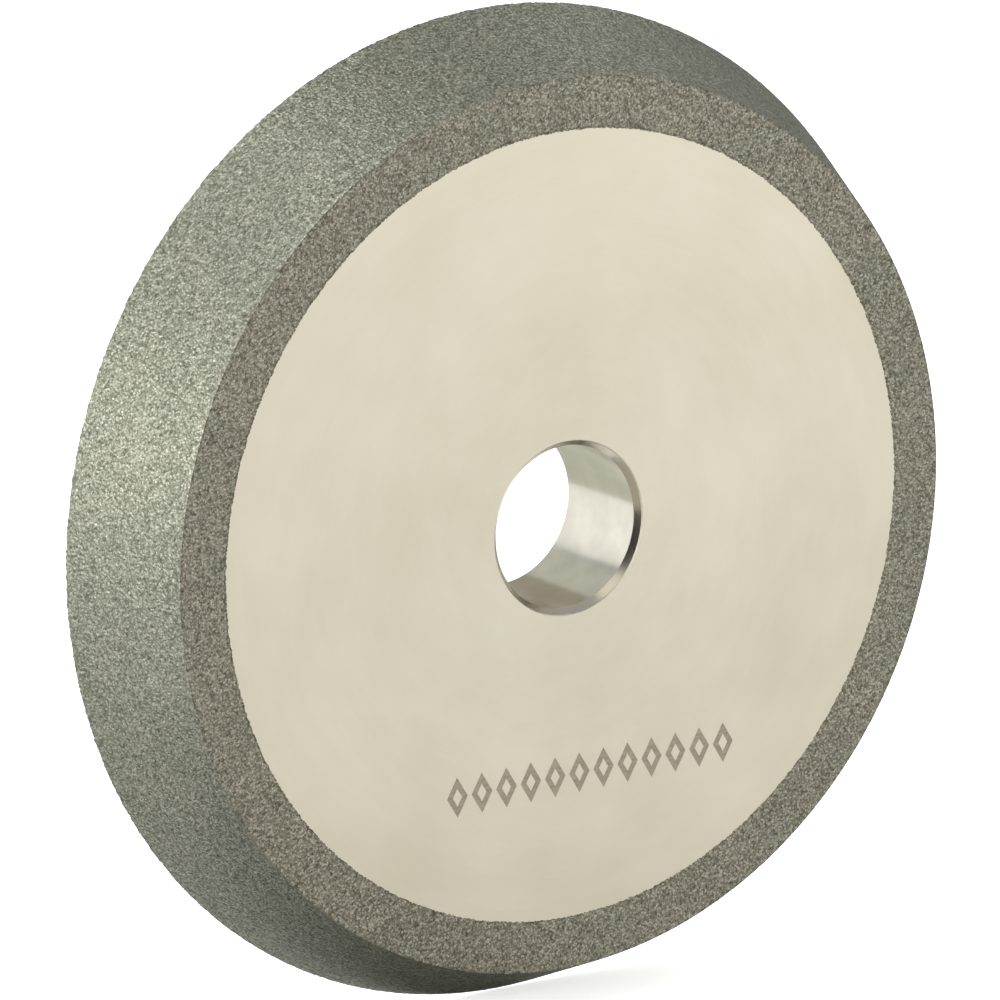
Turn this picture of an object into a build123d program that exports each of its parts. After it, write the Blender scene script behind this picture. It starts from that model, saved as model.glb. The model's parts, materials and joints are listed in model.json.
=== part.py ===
"""Electroplated diamond grinding wheel: a steel disc with a conical flank and a plain bore.

Millimetres, +Z up. The wheel's axis is Y and its front face looks along -Y. The origin is on the
axis, halfway through the thickness. The flank widens from the front face to the back face.
"""

from build123d import *
from math import atan, cos, degrees, radians, sin
import os

# Driving dimensions of the finished wheel
outer_diameter = 78.0          # largest, at the back face
front_rim_diameter = 69.7      # where the flank meets the front face
thickness = 9.7
bore_diameter = 12.7
front_bore_chamfer = 0.5       # 45 degrees
back_bore_chamfer = 0.3        # 45 degrees
face_band_width = 4.0          # radial width of the abrasive on the front face

# Layers grown on the steel, each measured square to the surface it covers
plating_thickness = 0.08       # plain nickel on both faces
bond_thickness = 0.12          # nickel that holds the grains
grain_stand = 0.08             # how far the grains stand out of the bond

# Generic mark: a row of open lozenges, shallow in the front plating
mark_count = 12
mark_pitch = 2.25
mark_width = 1.9
mark_height = 3.2
mark_stroke = 0.46             # measured square to a lozenge's side
mark_depth = 0.03
mark_centre_x = 2.15
mark_centre_z = -19.4
mark_tilt = 1.1                # degrees

# Worked out from the driving dimensions
bore_radius = bore_diameter / 2
front_rim_radius = front_rim_diameter / 2
outer_radius = outer_diameter / 2
half_thickness = thickness / 2
abrasive_thickness = bond_thickness + grain_stand
disc_edge_radius = front_rim_radius - face_band_width
flank_angle = atan((outer_radius - front_rim_radius) / thickness)

# Planes along the axis
grain_front_y = -half_thickness
core_front_y = grain_front_y + abrasive_thickness
disc_front_y = core_front_y - plating_thickness
back_y = half_thickness
core_back_y = back_y - plating_thickness


def flank_radius(y, depth):
    """Radius at y of the cone that lies depth below the working flank."""
    growth = (outer_radius - front_rim_radius) / thickness
    return front_rim_radius + (y + half_thickness) * growth - depth / cos(flank_angle)


def front_chamfer_radius(y):
    """Radius at y of the chamfer between the front face and the bore."""
    return bore_radius + front_bore_chamfer - (y - disc_front_y)


def back_chamfer_radius(y):
    """Radius at y of the chamfer between the back face and the bore."""
    return bore_radius + back_bore_chamfer - (back_y - y)


def front_corner(depth):
    """Front rim corner of the surface that lies depth below the working surfaces."""
    y = grain_front_y + depth
    return (flank_radius(y, depth), y)


def back_corner(depth):
    """Back rim corner of the cone that lies depth below the working flank."""
    return (flank_radius(back_y, depth), back_y)


def face_layer_outline(upper, lower):
    """Section of one layer of the face band, between two depths, mitred at the rim."""
    return [
        (disc_edge_radius, grain_front_y + upper),
        front_corner(upper),
        front_corner(lower),
        (disc_edge_radius, grain_front_y + lower),
    ]


def flank_layer_outline(upper, lower):
    """Section of one layer of the flank, between two depths, mitred at the rim."""
    return [front_corner(upper), back_corner(upper), back_corner(lower), front_corner(lower)]


# The turned steel blank, bare in the bore and on the chamfers
core_outline = [
    (bore_radius, disc_front_y + front_bore_chamfer),
    (front_chamfer_radius(core_front_y), core_front_y),
    front_corner(abrasive_thickness),
    (flank_radius(core_back_y, abrasive_thickness), core_back_y),
    (back_chamfer_radius(core_back_y), core_back_y),
    (bore_radius, back_y - back_bore_chamfer),
]
with BuildPart() as steel_core:
    with BuildSketch(Plane.XY):
        with BuildLine():
            Polyline(*core_outline, close=True)
        make_face()
    revolve(axis=Axis.Y)

# Plain nickel on the front face, inside the abrasive band
front_plating_outline = [
    (front_chamfer_radius(disc_front_y), disc_front_y),
    (disc_edge_radius, disc_front_y),
    (disc_edge_radius, core_front_y),
    (front_chamfer_radius(core_front_y), core_front_y),
]
mark_plane = Plane(
    origin=(mark_centre_x, disc_front_y, mark_centre_z),
    x_dir=(cos(radians(mark_tilt)), 0, sin(radians(mark_tilt))),
    z_dir=(0, -1, 0),
)


def lozenge_corners(inset):
    """Corners of a lozenge whose sides lie inset inside the mark's own outline."""
    side = (mark_width**2 + mark_height**2) ** 0.5
    shrink = 1 - inset * 2 * side / (mark_width * mark_height)
    half_width = mark_width / 2 * shrink
    half_height = mark_height / 2 * shrink
    return [(half_width, 0), (0, half_height), (-half_width, 0), (0, -half_height)]


with BuildPart() as front_nickel_plating:
    with BuildSketch(Plane.XY):
        with BuildLine():
            Polyline(*front_plating_outline, close=True)
        make_face()
    revolve(axis=Axis.Y)
    with BuildSketch(mark_plane):
        with GridLocations(mark_pitch, mark_height, mark_count, 1):
            Polygon(*lozenge_corners(0))
            Polygon(*lozenge_corners(mark_stroke), mode=Mode.SUBTRACT)
    extrude(amount=-mark_depth, mode=Mode.SUBTRACT)

# Plain nickel on the back face
back_plating_outline = [
    (back_chamfer_radius(core_back_y), core_back_y),
    (flank_radius(core_back_y, abrasive_thickness), core_back_y),
    back_corner(abrasive_thickness),
    (back_chamfer_radius(back_y), back_y),
]
with BuildPart() as back_nickel_plating:
    with BuildSketch(Plane.XY):
        with BuildLine():
            Polyline(*back_plating_outline, close=True)
        make_face()
    revolve(axis=Axis.Y)

# The abrasive, in two layers on the face band and two on the flank
with BuildPart() as face_nickel_bond:
    with BuildSketch(Plane.XY):
        with BuildLine():
            Polyline(*face_layer_outline(grain_stand, abrasive_thickness), close=True)
        make_face()
    revolve(axis=Axis.Y)

with BuildPart() as face_diamond_grit:
    with BuildSketch(Plane.XY):
        with BuildLine():
            Polyline(*face_layer_outline(0, grain_stand), close=True)
        make_face()
    revolve(axis=Axis.Y)

with BuildPart() as flank_nickel_bond:
    with BuildSketch(Plane.XY):
        with BuildLine():
            Polyline(*flank_layer_outline(grain_stand, abrasive_thickness), close=True)
        make_face()
    revolve(axis=Axis.Y)

with BuildPart() as flank_diamond_grit:
    with BuildSketch(Plane.XY):
        with BuildLine():
            Polyline(*flank_layer_outline(0, grain_stand), close=True)
        make_face()
    revolve(axis=Axis.Y)

# Labels and files
steel_core.part.label = "steel_core"
front_nickel_plating.part.label = "front_nickel_plating"
back_nickel_plating.part.label = "back_nickel_plating"
face_nickel_bond.part.label = "face_nickel_bond"
face_diamond_grit.part.label = "face_diamond_grit"
flank_nickel_bond.part.label = "flank_nickel_bond"
flank_diamond_grit.part.label = "flank_diamond_grit"

os.makedirs("parts", exist_ok=True)
export_step(steel_core.part, "parts/steel_core.step")
export_step(front_nickel_plating.part, "parts/front_nickel_plating.step")
export_step(back_nickel_plating.part, "parts/back_nickel_plating.step")
export_step(face_nickel_bond.part, "parts/face_nickel_bond.step")
export_step(face_diamond_grit.part, "parts/face_diamond_grit.step")
export_step(flank_nickel_bond.part, "parts/flank_nickel_bond.step")
export_step(flank_diamond_grit.part, "parts/flank_diamond_grit.step")

bore_wall_length = thickness - (disc_front_y - grain_front_y) - front_bore_chamfer - back_bore_chamfer
print("flank angle", round(degrees(flank_angle), 2), "degrees from the axis")
print("bore wall", round(bore_wall_length, 3), "mm long")
print("front disc at y", round(disc_front_y, 3), "and back face at y", round(back_y, 3))
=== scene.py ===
"""Looks of the diamond grinding wheel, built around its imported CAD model. Metres, +Z up, axis along Y."""

import json
from math import atan2, cos, pi, radians, sin, tan

import bpy
import numpy as np
from mathutils import Matrix, Vector


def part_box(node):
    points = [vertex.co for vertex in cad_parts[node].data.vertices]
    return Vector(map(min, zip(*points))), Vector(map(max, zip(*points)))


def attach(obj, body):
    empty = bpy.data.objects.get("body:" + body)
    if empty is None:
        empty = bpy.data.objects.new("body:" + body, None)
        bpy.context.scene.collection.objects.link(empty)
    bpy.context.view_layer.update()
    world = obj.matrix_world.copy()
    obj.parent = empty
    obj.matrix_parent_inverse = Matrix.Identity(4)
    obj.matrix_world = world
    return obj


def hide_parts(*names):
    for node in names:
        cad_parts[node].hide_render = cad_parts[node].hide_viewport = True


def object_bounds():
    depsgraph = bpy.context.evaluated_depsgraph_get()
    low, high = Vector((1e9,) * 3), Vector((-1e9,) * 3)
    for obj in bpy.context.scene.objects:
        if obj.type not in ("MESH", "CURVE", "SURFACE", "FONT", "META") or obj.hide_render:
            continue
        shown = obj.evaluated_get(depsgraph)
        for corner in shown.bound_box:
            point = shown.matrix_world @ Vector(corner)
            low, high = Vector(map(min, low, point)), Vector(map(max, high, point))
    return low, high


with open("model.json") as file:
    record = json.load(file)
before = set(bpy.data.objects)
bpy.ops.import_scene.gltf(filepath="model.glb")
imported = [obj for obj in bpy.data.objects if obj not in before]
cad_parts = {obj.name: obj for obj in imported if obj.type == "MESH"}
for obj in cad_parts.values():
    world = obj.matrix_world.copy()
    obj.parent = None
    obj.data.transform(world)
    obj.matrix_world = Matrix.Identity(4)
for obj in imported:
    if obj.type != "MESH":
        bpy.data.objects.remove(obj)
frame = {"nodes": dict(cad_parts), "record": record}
cad_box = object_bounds()

MM = 0.001

# ---------------------------------------------------------------- sizes read from the frame
grit_low, grit_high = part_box("flank_diamond_grit")
face_low, face_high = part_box("face_diamond_grit")
disc_low, disc_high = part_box("front_nickel_plating")
core_low, core_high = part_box("steel_core")

outer_radius = grit_high.x
rim_radius = face_high.x         # where the flank meets the front face
disc_edge = disc_high.x          # where the pale disc meets the face band
front_y = grit_low.y             # tips of the grains on the face band
back_y = grit_high.y
disc_y = disc_low.y              # surface of the pale disc
core_front_y = core_low.y
core_back_y = core_high.y
grain_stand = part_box("face_nickel_bond")[0].y - face_low.y
layer = core_front_y - front_y   # bond and grains together
growth = (outer_radius - rim_radius) / (back_y - front_y)
flank_tilt = atan2(outer_radius - rim_radius, back_y - front_y)

mounts = {m["name"]: m for m in frame["record"]["mounts"]}
bore_radius = mounts["arbor_bore"]["dims"]["r_mm"] * MM
front_chamfer = 0.5 * MM
back_chamfer = 0.3 * MM


def flank_radius(y, depth):
    """Radius at y of the cone that lies depth below the working flank."""
    return rim_radius + (y - front_y) * growth - depth / cos(flank_tilt)


# ---------------------------------------------------------------- meshes
def new_piece(name, vertices, faces, material, smooth=False):
    """A mesh piece of the wheel from arrays of corners and of equal-sided faces."""
    mesh = bpy.data.meshes.new(name)
    sides = faces.shape[1]
    mesh.vertices.add(len(vertices))
    mesh.vertices.foreach_set("co", np.asarray(vertices, np.float32).ravel())
    mesh.loops.add(faces.size)
    mesh.loops.foreach_set("vertex_index", faces.astype(np.int32).ravel())
    mesh.polygons.add(len(faces))
    mesh.polygons.foreach_set("loop_start", np.arange(0, faces.size, sides, dtype=np.int32))
    mesh.polygons.foreach_set("use_smooth", np.full(len(faces), smooth))
    mesh.update(calc_edges=True)
    mesh.materials.append(material)
    piece = bpy.data.objects.new(name, mesh)
    bpy.context.scene.collection.objects.link(piece)
    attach(piece, "root")
    return piece


def around(radius, y, angle):
    """Points on circles about the wheel's axis."""
    radius, y, angle = np.broadcast_arrays(radius, y, angle)
    return np.stack([radius * np.cos(angle), y, radius * np.sin(angle)], axis=-1)


def join_rings(lower, upper):
    """Quads between two rings of vertex numbers of equal length."""
    return np.stack([lower, np.roll(lower, -1), np.roll(upper, -1), upper], axis=-1)


def rounded(outline, radii, steps=6):
    """A closed outline of (radius, y) points with its corners rounded by arcs."""
    path = []
    count = len(outline)
    for i, corner in enumerate(outline):
        here = np.array(corner)
        to_last = np.array(outline[i - 1]) - here
        to_next = np.array(outline[(i + 1) % count]) - here
        if not radii[i]:
            path.append(here)
            continue
        a = to_last / np.linalg.norm(to_last)
        b = to_next / np.linalg.norm(to_next)
        half = np.arccos(np.clip(a @ b, -1, 1)) / 2
        run = radii[i] / tan(half)
        centre = here + (a + b) / np.linalg.norm(a + b) * radii[i] / sin(half)
        start = here + a * run - centre
        end = here + b * run - centre
        for k in range(steps + 1):
            blend = start + (end - start) * k / steps
            path.append(centre + blend / np.linalg.norm(blend) * radii[i])
    return np.array(path)


# ---------------------------------------------------------------- materials
grain_size = 0.15 * MM           # of the pattern on the abrasive


def material_nodes(name):
    """A new node material, its node tree and its Principled shader."""
    material = bpy.data.materials.new(name)
    material.use_nodes = True
    tree = material.node_tree
    shader = next(n for n in tree.nodes if n.type == "BSDF_PRINCIPLED")
    return material, tree, shader


def add(tree, kind, **settings):
    """A shader node with its settings, and with its sockets' values by name."""
    node = tree.nodes.new(kind)
    for key, value in settings.items():
        if key in node.inputs:
            node.inputs[key].default_value = value
        else:
            setattr(node, key, value)
    return node


def ramp(tree, source, stops):
    """A colour ramp on source, with stops of (position, colour)."""
    node = tree.nodes.new("ShaderNodeValToRGB")
    while len(node.color_ramp.elements) < len(stops):
        node.color_ramp.elements.new(0.5)
    for element, (position, colour) in zip(node.color_ramp.elements, stops):
        element.position = position
        element.color = (*colour, 1)
    tree.links.new(source, node.inputs["Fac"])
    return node.outputs["Color"]


def ranged(tree, source, low, high, source_low=0.0, source_high=1.0):
    """source, which runs from source_low to source_high, moved to run from low to high."""
    node = tree.nodes.new("ShaderNodeMapRange")
    node.inputs["From Min"].default_value = source_low
    node.inputs["From Max"].default_value = source_high
    node.inputs["To Min"].default_value = low
    node.inputs["To Max"].default_value = high
    tree.links.new(source, node.inputs["Value"])
    return node.outputs["Result"]


def mixed(tree, factor, first, second, blend="MIX"):
    """Two colours, each a socket or a plain colour, mixed by factor."""
    node = tree.nodes.new("ShaderNodeMix")
    node.data_type = "RGBA"
    node.blend_type = blend
    colour_sockets = (node.inputs[0], node.inputs[6], node.inputs[7])
    for socket, value in zip(colour_sockets, (factor, first, second)):
        if isinstance(value, bpy.types.NodeSocket):
            tree.links.new(value, socket)
        else:
            socket.default_value = (*value, 1) if isinstance(value, tuple) else value
    return node.outputs[2]


def weighted(tree, shares):
    """The sum of sockets, each times its share."""
    total = None
    for socket, share in shares:
        node = add(tree, "ShaderNodeMath", operation="MULTIPLY_ADD")
        tree.links.new(socket, node.inputs[0])
        node.inputs[1].default_value = share
        node.inputs[2].default_value = 0.0
        if total is not None:
            tree.links.new(total, node.inputs[2])
        total = node.outputs["Value"]
    return total


def object_noise(tree, scale, detail=2.0, stretch=(1, 1, 1)):
    """Noise in the piece's own coordinates; scale is in cycles per metre."""
    place = add(tree, "ShaderNodeTexCoord")
    stretched = add(tree, "ShaderNodeMapping", Scale=stretch)
    noise = add(tree, "ShaderNodeTexNoise", Scale=scale, Detail=detail)
    tree.links.new(place.outputs["Object"], stretched.inputs["Vector"])
    tree.links.new(stretched.outputs["Vector"], noise.inputs["Vector"])
    return noise.outputs["Fac"]


def polar(tree):
    """Distance from the wheel's axis, unit vector away from it, and place along it."""
    place = add(tree, "ShaderNodeTexCoord")
    parts = tree.nodes.new("ShaderNodeSeparateXYZ")
    tree.links.new(place.outputs["Object"], parts.inputs["Vector"])
    flat = tree.nodes.new("ShaderNodeCombineXYZ")
    tree.links.new(parts.outputs["X"], flat.inputs["X"])
    tree.links.new(parts.outputs["Z"], flat.inputs["Z"])
    length = add(tree, "ShaderNodeVectorMath", operation="LENGTH")
    tree.links.new(flat.outputs["Vector"], length.inputs[0])
    away = add(tree, "ShaderNodeVectorMath", operation="NORMALIZE")
    tree.links.new(flat.outputs["Vector"], away.inputs[0])
    return length.outputs["Value"], away.outputs["Vector"], parts.outputs["Y"]


def arcs(tree, radius, away, across, around_axis, detail=2.0):
    """Noise drawn out round the axis: across cycles per metre of radius, few of them round it."""
    drawn = add(tree, "ShaderNodeVectorMath", operation="SCALE", Scale=around_axis)
    tree.links.new(away, drawn.inputs[0])
    rings = add(tree, "ShaderNodeMath", operation="MULTIPLY")
    tree.links.new(radius, rings.inputs[0])
    rings.inputs[1].default_value = across
    shift = tree.nodes.new("ShaderNodeCombineXYZ")
    tree.links.new(rings.outputs["Value"], shift.inputs["Y"])
    total = add(tree, "ShaderNodeVectorMath", operation="ADD")
    tree.links.new(drawn.outputs["Vector"], total.inputs[0])
    tree.links.new(shift.outputs["Vector"], total.inputs[1])
    noise = add(tree, "ShaderNodeTexNoise", Scale=1.0, Detail=detail)
    tree.links.new(total.outputs["Vector"], noise.inputs["Vector"])
    return noise.outputs["Fac"]


def bump(tree, shader, height, distance, strength):
    """A bump of that height in metres on the shader's normal."""
    node = add(tree, "ShaderNodeBump", Distance=distance, Strength=strength)
    tree.links.new(height, node.inputs["Height"])
    tree.links.new(node.outputs["Normal"], shader.inputs["Normal"])


def turned_lines(tree, along, scale, detail=3.0):
    """Noise that changes only along one number, as the lines that a lathe leaves."""
    node = add(tree, "ShaderNodeTexNoise", noise_dimensions="1D", Scale=scale, Detail=detail)
    tree.links.new(along, node.inputs["W"])
    return node.outputs["Fac"]


def satin_nickel(name):
    """Warm matt nickel: faint clouds, polishing arcs and very fine lines round the axis."""
    material, tree, shader = material_nodes(name)
    clouds = object_noise(tree, 90.0, 5.0)
    radius, away, _ = polar(tree)
    wiped = arcs(tree, radius, away, 700.0, 4.0, 3.0)
    lines = arcs(tree, radius, away, 7000.0, 12.0)
    tone = weighted(tree, [(clouds, 0.68), (wiped, 0.20), (lines, 0.12)])
    colour = ramp(tree, tone, [(0.35, (0.468, 0.435, 0.350)), (0.65, (0.535, 0.500, 0.414))])
    broad = object_noise(tree, 38.0, 3.0)
    tint = ramp(tree, broad, [(0.35, (1.0, 0.988, 0.968)), (0.65, (0.985, 1.0, 0.985))])
    tree.links.new(mixed(tree, 1.0, colour, tint, "MULTIPLY"), shader.inputs["Base Color"])
    shader.inputs["Metallic"].default_value = 1.0
    tree.links.new(ranged(tree, tone, 0.37, 0.45, 0.35, 0.65), shader.inputs["Roughness"])
    bump(tree, shader, lines, 0.0015 * MM, 0.6)
    return material


def ground_steel(name):
    """Bright steel of the bore with fine lines round the axis, duller and warmer on the chamfer."""
    material, tree, shader = material_nodes(name)
    radius, _, along = polar(tree)
    total = add(tree, "ShaderNodeMath", operation="ADD")
    tree.links.new(radius, total.inputs[0])
    tree.links.new(along, total.inputs[1])
    lines = turned_lines(tree, total.outputs["Value"], 12000.0)
    stain = object_noise(tree, 400.0, 3.0)
    colour = ramp(tree, stain, [(0.35, (0.68, 0.665, 0.61)), (0.65, (0.76, 0.745, 0.69))])
    chamfer_end = disc_y + front_chamfer
    chamfer = ranged(tree, along, 1.0, 0.0, chamfer_end - 0.03 * MM, chamfer_end + 0.03 * MM)
    colour = mixed(tree, chamfer, colour, (0.66, 0.62, 0.53))
    tree.links.new(colour, shader.inputs["Base Color"])
    shader.inputs["Metallic"].default_value = 1.0
    rough = weighted(tree, [(ranged(tree, lines, 0.14, 0.24, 0.3, 0.7), 1.0), (chamfer, 0.04)])
    tree.links.new(rough, shader.inputs["Roughness"])
    bump(tree, shader, lines, 0.004 * MM, 0.5)
    return material


def abrasive(name, gap, grain, pale_grain_and_glint):
    """Diamond grains in dark nickel: light cells of random tone between dark gaps, the lightest partly pale
    grain and partly painted glint.
    """
    material, tree, shader = material_nodes(name)
    place = add(tree, "ShaderNodeTexCoord").outputs["Object"]
    cells = add(tree, "ShaderNodeTexVoronoi", Scale=1 / grain_size, Randomness=1.0)
    tree.links.new(place, cells.inputs["Vector"])
    channels = tree.nodes.new("ShaderNodeSeparateColor")
    tree.links.new(cells.outputs["Color"], channels.inputs["Color"])
    domes = ranged(tree, cells.outputs["Distance"], 1.0, 0.0, 0.15, 0.75)
    relief = add(tree, "ShaderNodeAttribute", attribute_name="grain_tone").outputs["Fac"]
    tone = weighted(tree, [(channels.outputs["Red"], 0.45), (domes, 0.25), (relief, 0.30)])
    patches = object_noise(tree, 350.0, 3.0)
    # The top stop is partly pale grains and partly painted glints of crystal faces.
    colour = ramp(tree, tone, [(0.15, gap), (0.55, grain), (0.85, pale_grain_and_glint)])
    shade = ramp(tree, patches, [(0.3, (0.92, 0.93, 0.91)), (0.7, (1.0, 0.99, 0.97))])
    tree.links.new(mixed(tree, 1.0, colour, shade, "MULTIPLY"), shader.inputs["Base Color"])
    shader.inputs["Metallic"].default_value = 0.75
    shader.inputs["Specular Tint"].default_value = (0.77, 0.77, 0.77, 1)
    tree.links.new(ranged(tree, channels.outputs["Green"], 0.36, 0.6), shader.inputs["Roughness"])
    bump(tree, shader, tone, 0.05 * MM, 0.6)
    return material


def laser_grey(name):
    """Matt grey-brown of a laser mark, with the fine lines of the beam."""
    material, tree, shader = material_nodes(name)
    lines = object_noise(tree, 5200.0, 2.0, stretch=(0.3, 1, 1))
    colour = ramp(tree, lines, [(0.3, (0.205, 0.182, 0.132)), (0.7, (0.275, 0.248, 0.185))])
    tree.links.new(colour, shader.inputs["Base Color"])
    shader.inputs["Metallic"].default_value = 0.6
    shader.inputs["Roughness"].default_value = 0.6
    bump(tree, shader, lines, 0.01 * MM, 0.5)
    return material


nickel_look = satin_nickel("satin_nickel")
steel_look = ground_steel("ground_steel")
face_grit_look = abrasive(
    "face_abrasive", gap=(0.054, 0.051, 0.033), grain=(0.200, 0.189, 0.148), pale_grain_and_glint=(0.37, 0.356, 0.297)
)
flank_grit_look = abrasive(
    "flank_abrasive", gap=(0.058, 0.061, 0.044), grain=(0.176, 0.181, 0.143), pale_grain_and_glint=(0.30, 0.307, 0.255)
)
mark_look = laser_grey("laser_grey")

# ---------------------------------------------------------------- plated faces, as CAD made them
for node in ("front_nickel_plating", "back_nickel_plating"):
    for material_slot in frame["nodes"][node].material_slots:
        material_slot.material = nickel_look


# ---------------------------------------------------------------- turned core
def turned_core():
    """The steel blank as a fine lathe, with its sharp corners just broken."""
    broken = 0.04 * MM
    outline = [
        (bore_radius, disc_y + front_chamfer),
        (bore_radius + front_chamfer + disc_y - core_front_y, core_front_y),
        (flank_radius(core_front_y, layer), core_front_y),
        (flank_radius(core_back_y, layer), core_back_y),
        (bore_radius + back_chamfer - (back_y - core_back_y), core_back_y),
        (bore_radius, back_y - back_chamfer),
    ]
    path = rounded(outline, [broken, 0, 0, 0, 0, broken])
    steps = 320
    turn = np.arange(steps) * 2 * pi / steps
    points = around(path[:, 0, None], path[:, 1, None], turn[None])
    numbers = np.arange(len(path) * steps).reshape(len(path), steps)
    rings = zip(numbers, np.roll(numbers, -1, axis=0))
    faces = np.concatenate([join_rings(ring, after) for ring, after in rings])
    piece = new_piece("turned_core", points.reshape(-1, 3), faces, steel_look, smooth=True)
    piece.data.set_sharp_from_angle(angle=radians(20))
    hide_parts("steel_core")
    return piece


core_piece = turned_core()

# ---------------------------------------------------------------- abrasive layers
columns = 1480                   # grains round the wheel
face_rows = 27                   # rows of grains across the face band
flank_rows = 64                  # rows of grains along the flank
corner_round = 0.04 * MM         # of the bond at the rim
back_round = 0.05 * MM           # of the bond at the back edge
arc_steps = 12
middle_rise = 0.055 * MM         # how far a middling grain stands out of the bond
rise_spread = 0.045 * MM         # from the lowest grain to the highest
end_rows = 2                     # rows at each edge whose grains are nearly level
end_share = 0.35                 # of the spread that the grains of those rows keep
fade_rows = 6.0                  # rows from each edge over which the sliding fades in
wander = 0.06 * MM               # how far whole groups of grains leave their rows
jitter = 0.33                    # how far each grain leaves its place, in steps of the sheet
ragged = 0.14 * MM               # how far the band's inner edge strays either way
first_row_back = 0.08 * MM       # how far short of the furthest stray the band's sheet starts


def abrasive_path():
    """Surface of the bond in (radius, y): the face band, then the flank to the back edge."""
    plane_y = front_y + grain_stand
    inner = (disc_edge + ragged - first_row_back, plane_y)
    rim = (flank_radius(plane_y, grain_stand), plane_y)
    heel_y = back_y - grain_stand
    heel = (flank_radius(heel_y, grain_stand), heel_y)
    end = (flank_radius(heel_y, layer), heel_y)
    path = rounded([inner, rim, heel, end], [0, corner_round, back_round, 0], arc_steps)
    middle_of_rim = 1 + arc_steps // 2
    return path[: middle_of_rim + 1], path[middle_of_rim:]


def along_path(path, travel):
    """Points in (radius, y) at those distances along a path, and the outward normals there."""
    steps = np.diff(path, axis=0)
    lengths = np.linalg.norm(steps, axis=1)
    marks = np.concatenate([[0], np.cumsum(lengths)])
    slopes = steps / lengths[:, None]
    middles = (marks[1:] + marks[:-1]) / 2
    radius = np.interp(travel, marks, path[:, 0])
    y = np.interp(travel, marks, path[:, 1])
    slope_r = np.interp(travel, middles, slopes[:, 0])
    slope_y = np.interp(travel, middles, slopes[:, 1])
    size = np.hypot(slope_r, slope_y)
    return radius, y, slope_y / size, -slope_r / size


def path_length(path):
    """Length of a path of points."""
    return np.linalg.norm(np.diff(path, axis=0), axis=1).sum()


def drift(random, turn, travel, size):
    """A smooth wandering field over the sheet, so that the grains keep no straight rows."""
    waves = 14
    total = np.zeros(np.broadcast(turn, travel).shape)
    for _ in range(waves):
        around_waves = random.integers(30, 110)
        across_waves = random.uniform(-0.35, 0.35) / MM
        total += np.sin(around_waves * turn + 2 * pi * across_waves * travel + random.uniform(0, 2 * pi))
    return total * size / np.sqrt(waves / 2)


def grain_points(path, rows, seed):
    """Points of one sheet of grains as (rows + 1, columns): places on the wheel and tones."""
    random = np.random.default_rng(seed)
    row_step = path_length(path) / rows
    pitch = 2 * pi / columns
    row = np.arange(rows + 1)[:, None]
    shape = (rows + 1, columns)
    turn = (np.arange(columns)[None] + 0.5 * (row % 2)) * pitch
    travel = np.broadcast_to(row * row_step, shape)
    inside = np.minimum(np.minimum(row, rows - row) / fade_rows, 1.0)
    mean_radius = path[:, 0].mean()
    swing = drift(random, turn, travel, wander) / mean_radius
    slide = drift(random, turn, travel, wander) * inside
    swing += random.uniform(-jitter, jitter, shape) * pitch
    slide += random.uniform(-jitter, jitter, shape) * row_step * (inside > 0)
    radius, y, out_r, out_y = along_path(path, travel + slide)
    height = random.beta(0.8, 0.8, shape)
    calm = np.where(np.minimum(row, rows - row) > end_rows, 1.0, end_share)
    rise = middle_rise + (height - 0.5) * rise_spread * calm
    tone = np.clip(0.6 * height + 0.4 * random.random(shape), 0, 1)
    points = around(radius + out_r * rise, y + out_y * rise, turn + swing)
    return points, tone, random


def sheet_faces(numbers, points):
    """Triangles of a sheet of points, each four-sided cell split along its shorter diagonal."""
    near, far = numbers[:-1], numbers[1:]
    near_next, far_next = np.roll(near, -1, axis=1), np.roll(far, -1, axis=1)
    flat = points.reshape(-1, 3)
    rising = np.linalg.norm(flat[near] - flat[far_next], axis=-1)
    falling = np.linalg.norm(flat[near_next] - flat[far], axis=-1)
    first = np.stack([near, near_next, np.where(rising < falling, far_next, far)], -1)
    second = np.stack([np.where(rising < falling, near, near_next), far_next, far], -1)
    return np.concatenate([first.reshape(-1, 3), second.reshape(-1, 3)])


def grain_sheet(name, points, tone, under, material, nodes):
    """A closed layer whose outer side is the sheet and whose hidden rings lie at under."""
    plain_turn = np.arange(columns) * 2 * pi / columns
    hidden = np.stack([around(radius, y, plain_turn) for radius, y in under])
    numbers = np.arange(tone.size).reshape(tone.shape)
    hidden_numbers = np.arange(hidden.shape[0] * columns).reshape(-1, columns) + tone.size
    faces = [sheet_faces(numbers, points)]
    chain = [numbers[-1], *hidden_numbers, numbers[0]]
    for ring, after in zip(chain, chain[1:]):
        quads = join_rings(ring, after)
        faces += [quads[:, [0, 1, 2]], quads[:, [0, 2, 3]]]
    vertices = np.concatenate([points.reshape(-1, 3), hidden.reshape(-1, 3)])
    piece = new_piece(name, vertices, np.concatenate(faces), material)
    values = np.concatenate([tone.ravel(), np.zeros(hidden_numbers.size)]).astype(np.float32)
    piece.data.attributes.new("grain_tone", "FLOAT", "POINT").data.foreach_set("value", values)
    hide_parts(*nodes)
    return piece


def fray(points, tone, random, turn):
    """Let the band's inner edge stray the way the edge of the plating mask did."""
    stray = random.uniform(-0.7, 0.7, columns)
    for waves in (9, 23, 47, 90, 170):
        stray += 0.15 * random.random() * np.sin(waves * turn + random.uniform(0, 2 * pi))
    foot_y = disc_y - random.uniform(0.01, 0.05, columns) * MM
    points[0] = around(disc_edge + stray * ragged, foot_y, turn)
    tone[0] *= 0.4


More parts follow.
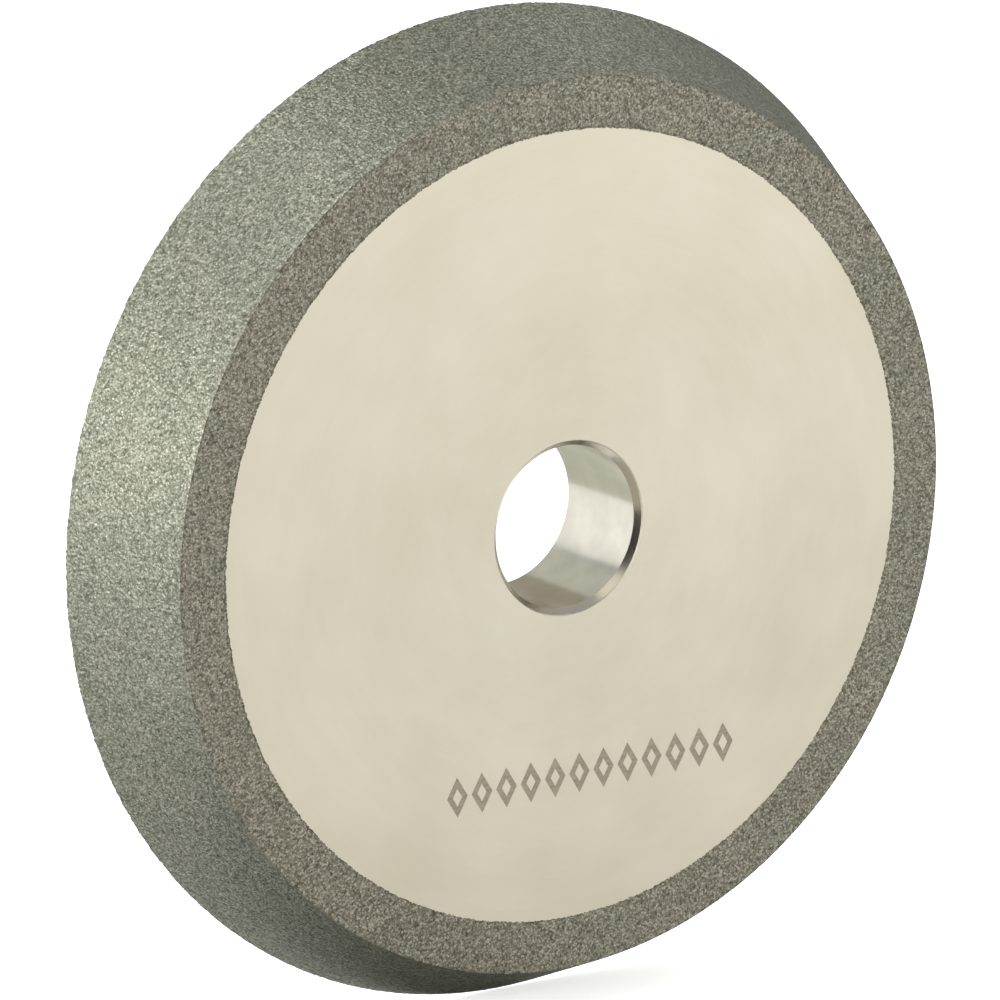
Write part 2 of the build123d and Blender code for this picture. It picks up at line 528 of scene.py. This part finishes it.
def abrasive_layers():
    """The face sheet and the flank sheet, which share one crisp ring of points at the rim."""
    face_path, flank_path = abrasive_path()
    face_points, face_tone, random = grain_points(face_path, face_rows, 21)
    flank_points, flank_tone, _ = grain_points(flank_path, flank_rows, 31)
    turn = np.arange(columns) * 2 * pi / columns
    fray(face_points, face_tone, random, turn)

    depth = random.uniform(0.018, 0.034, columns) * MM
    rim_turn = turn + (random.uniform(-0.2, 0.2, columns) * 2 + face_rows % 2) * pi / columns
    face_points[-1] = around(flank_radius(front_y + depth, depth), front_y + depth, rim_turn)
    flank_points[0] = face_points[-1]
    # Painted shade and highlight at the rim: the band's last ring of grains is dark, a painted shade line
    # in the corner, and the flank's first ring a little lighter, a painted highlight along the edge.
    face_tone[-1] = random.uniform(0.0, 0.2, columns)
    flank_tone[0] = random.uniform(0.3, 0.9, columns)

    mitre = (flank_radius(core_front_y, layer), core_front_y)
    face_foot = (disc_edge - ragged, disc_y + 0.03 * MM)
    grain_sheet("face_abrasive", face_points, face_tone, [mitre, face_foot], face_grit_look,
                ("face_nickel_bond", "face_diamond_grit"))
    grain_sheet("flank_abrasive", flank_points, flank_tone, [mitre], flank_grit_look,
                ("flank_nickel_bond", "flank_diamond_grit"))


abrasive_layers()


# ---------------------------------------------------------------- laser mark
def mark_floor(margin):
    """Places and faces of the floors of the shallow lozenges that CAD sinks in the front plating."""
    source = frame["nodes"]["front_nickel_plating"].data
    numbers = {}
    places = []
    faces = []
    for face in source.polygons:
        on_floor = disc_y + margin < face.center.y < core_front_y - margin and face.normal.y < -0.9
        if not on_floor:
            continue
        corners = []
        for index in face.vertices:
            place = source.vertices[index].co
            key = (round(place.x, 7), round(place.z, 7))
            if key not in numbers:
                numbers[key] = len(places)
                places.append(place.copy())
            corners.append(numbers[key])
        faces.append(corners)
    return places, faces


def laser_mark():
    """The burnt floor of the lozenges: a thin closed layer, its faces always in the same order."""
    margin = 0.01 * MM
    thickness = 0.01 * MM
    lift = 0.012 * MM
    places, fronts = mark_floor(margin)
    count = len(places)
    vertices = [(place.x, place.y - lift, place.z) for place in places]
    vertices += [(x, y + thickness, z) for x, y, z in vertices]
    edges = {(face[i - 1], face[i]) for face in fronts for i in range(len(face))}
    rim = sorted(edge for edge in edges if edge[::-1] not in edges)
    backs = [[corner + count for corner in reversed(face)] for face in fronts]
    sides = [(b, a, a + count, b + count) for a, b in rim]
    mesh = bpy.data.meshes.new("laser_mark")
    mesh.from_pydata(vertices, [], fronts + backs + sides)
    mesh.materials.append(mark_look)
    piece = bpy.data.objects.new("laser_mark", mesh)
    bpy.context.scene.collection.objects.link(piece)
    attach(piece, "root")


laser_mark()

# ---------------------------------------------------------------- floor and room
floor_z = cad_box[0][2]


def stage_plane(name, corners, material):
    """A flat four-cornered piece of the studio."""
    mesh = bpy.data.meshes.new(name)
    mesh.from_pydata(corners, [], [(0, 1, 2, 3)])
    mesh.materials.append(material)
    piece = bpy.data.objects.new(name, mesh)
    bpy.context.scene.collection.objects.link(piece)
    return piece


def pale_floor(reach, lift):
    """A pale floor, seen a little brighter than it lights the wheel so that it meets the room."""
    material, tree, shader = material_nodes("pale_floor")
    shader.inputs["Base Color"].default_value = (0.9, 0.9, 0.9, 1)
    shader.inputs["Roughness"].default_value = 0.7
    shader.inputs["Emission Color"].default_value = (1, 1, 1, 1)
    seen = add(tree, "ShaderNodeMath", operation="MULTIPLY")
    tree.links.new(add(tree, "ShaderNodeLightPath").outputs["Is Camera Ray"], seen.inputs[0])
    seen.inputs[1].default_value = lift
    tree.links.new(seen.outputs["Value"], shader.inputs["Emission Strength"])
    corners = [(x * reach, y * reach, floor_z) for x, y in ((-1, -1), (1, -1), (1, 1), (-1, 1))]
    stage_plane("floor", corners, material)


def studio_world(fill, backdrop):
    """A white room: its light on the object is fill, and the camera sees it at backdrop."""
    world = bpy.data.worlds.new("studio")
    world.use_nodes = True
    tree = world.node_tree
    room = tree.nodes["Background"]
    room.inputs["Color"].default_value = (1, 1, 1, 1)
    room.inputs["Strength"].default_value = fill
    seen = add(tree, "ShaderNodeBackground", Color=(1, 1, 1, 1), Strength=backdrop)
    choice = tree.nodes.new("ShaderNodeMixShader")
    tree.links.new(add(tree, "ShaderNodeLightPath").outputs["Is Camera Ray"], choice.inputs["Fac"])
    tree.links.new(room.outputs["Background"], choice.inputs[1])
    tree.links.new(seen.outputs["Background"], choice.inputs[2])
    tree.links.new(choice.outputs["Shader"], tree.nodes["World Output"].inputs["Surface"])
    bpy.context.scene.world = world


pale_floor(reach=2.0, lift=0.58)
studio_world(fill=0.45, backdrop=1.0)


# ---------------------------------------------------------------- softboxes
def direction(azimuth, elevation):
    """Unit vector from the wheel: azimuth 0 is in front of it, +90 on its +X side, in degrees."""
    azimuth, elevation = radians(azimuth), radians(elevation)
    return Vector((sin(azimuth) * cos(elevation), -cos(azimuth) * cos(elevation), sin(elevation)))


# name, azimuth, elevation, distance (m), width, height (m), power (W), whether it lights the bore
softboxes = [
    ("front", -10, 15, 1.0, 0.60, 0.50, 2.7, True),
    ("front_left", -45, 15, 1.0, 0.60, 0.50, 3.3, False),
    ("front_right_low", 40, 5, 0.4, 0.25, 0.25, 0.3, True),
    ("left", -80, 15, 1.0, 0.60, 0.50, 7.9, False),
    ("left_back", -120, 15, 1.0, 0.60, 0.50, 3.7, True),
    ("left_high", -108, 68, 0.9, 0.45, 0.45, 3.6, True),
    ("right_high", 100, 50, 1.0, 0.60, 0.50, 2.5, False),
]
off_the_core = bpy.data.collections.new("off_the_core")
off_the_core.objects.link(core_piece)
off_the_core.collection_objects[0].light_linking.link_state = "EXCLUDE"
for name, azimuth, elevation, distance, width, height, power, lights_bore in softboxes:
    data = bpy.data.lights.new(name, "AREA")
    data.shape = "RECTANGLE"
    data.size = width
    data.size_y = height
    data.energy = power
    lamp = bpy.data.objects.new(name, data)
    aim = direction(azimuth, elevation)
    lamp.location = aim * distance
    lamp.rotation_euler = (-aim).to_track_quat("-Z", "Y").to_euler()
    lamp.visible_camera = False
    if not lights_bore:
        lamp.light_linking.receiver_collection = off_the_core
    bpy.context.scene.collection.objects.link(lamp)


# ---------------------------------------------------------------- painted reflections: glowing cards that only reflections see, round the bright metal
def painted_reflection_card(name, corners, colour):
    """A glowing card that only reflections see: a painted reflection, bright or dark, beside the bright
    metal.
    """
    material, _, shader = material_nodes(name)
    shader.inputs["Base Color"].default_value = (0, 0, 0, 1)
    shader.inputs["Specular IOR Level"].default_value = 0.0
    shader.inputs["Emission Color"].default_value = (*colour, 1)
    shader.inputs["Emission Strength"].default_value = 1.0
    piece = stage_plane(name, corners, material)
    piece.visible_camera = False
    piece.visible_diffuse = False
    piece.visible_shadow = False
    piece.visible_transmission = False


# Painted reflections: glowing cards, bright or dark, that stand for the room mirrored in the metal; the
# near dark one paints the dark band on the bore's chamfer.
# name, azimuths from and to, elevations from and to, distance (m), colour
standing_painted_reflections = [
    ("white_painted_reflection", (-158, -128), (-4, 29), 0.5, (1.08, 1.06, 0.99)),
    ("grey_painted_reflection", (-196, -158), (12, 45), 0.5, (0.58, 0.58, 0.50)),
    ("brown_painted_reflection", (-222, -196), (8, 50), 0.5, (0.36, 0.33, 0.26)),
    ("dark_painted_reflection", (-66, -40), (-20, 36), 0.12, (0.015, 0.012, 0.008)),
    ("high_painted_reflection", (-44, -2), (40, 66), 0.5, (1.05, 1.0, 0.9)),
]
for name, (west, east), (low, high), distance, colour in standing_painted_reflections:
    turns = ((west, low), (east, low), (east, high), (west, high))
    painted_reflection_card(name, [direction(*turn) * distance for turn in turns], colour)

# Painted shade and light on the floor, seen only in reflections: the back one paints the wheel's own shadow
# behind it, the foot and front ones a darker floor near the wheel, the left one a brighter floor.
# name, corners on the floor as x and y (mm), height above it (mm), colour
floor_painted_reflections = [
    ("back_painted_shadow", [(-52, 45), (60, 45), (60, 110), (-35, 110)], 0.05, (0.58, 0.57, 0.48)),
    ("left_painted_light", [(-330, 45), (-52, 45), (46, 420), (-330, 420)], 0.05, (1.08, 1.06, 0.99)),
    ("foot_painted_shade", [(-62, -14), (0, -14), (0, 5), (-62, 5)], 0.08, (0.12, 0.12, 0.10)),
    ("front_painted_shade", [(-15, -1), (-2, -20), (-78, -86), (-105, -46)], 0.05, (0.48, 0.45, 0.37)),
]
for name, corners, height, colour in floor_painted_reflections:
    painted_reflection_card(name, [(x * MM, y * MM, floor_z + height * MM) for x, y in corners], colour)


# ---------------------------------------------------------------- camera
def studio_camera(azimuth, elevation, distance, aim_right, aim_up):
    """The camera on the side of that direction, aimed beside the centre of the front face."""
    towards = direction(azimuth, elevation)
    right = Vector((cos(radians(azimuth)), sin(radians(azimuth)), 0))
    up = towards.cross(right)
    data = bpy.data.cameras.new("camera")
    data.sensor_width = 36.0
    data.lens = 298.15
    data.clip_end = 20.0
    camera = bpy.data.objects.new("camera", data)
    front_centre = Vector((0, front_y, 0))
    place = front_centre + right * aim_right + up * aim_up + towards * distance
    camera.matrix_world = Matrix.Translation(place) @ Matrix((right, up, towards)).transposed().to_4x4()
    bpy.context.scene.collection.objects.link(camera)
    bpy.context.scene.camera = camera


studio_camera(azimuth=-34.13, elevation=14.0, distance=0.6288, aim_right=-5.30 * MM, aim_up=2.16 * MM)
bpy.context.scene.view_settings.view_transform = "Standard"
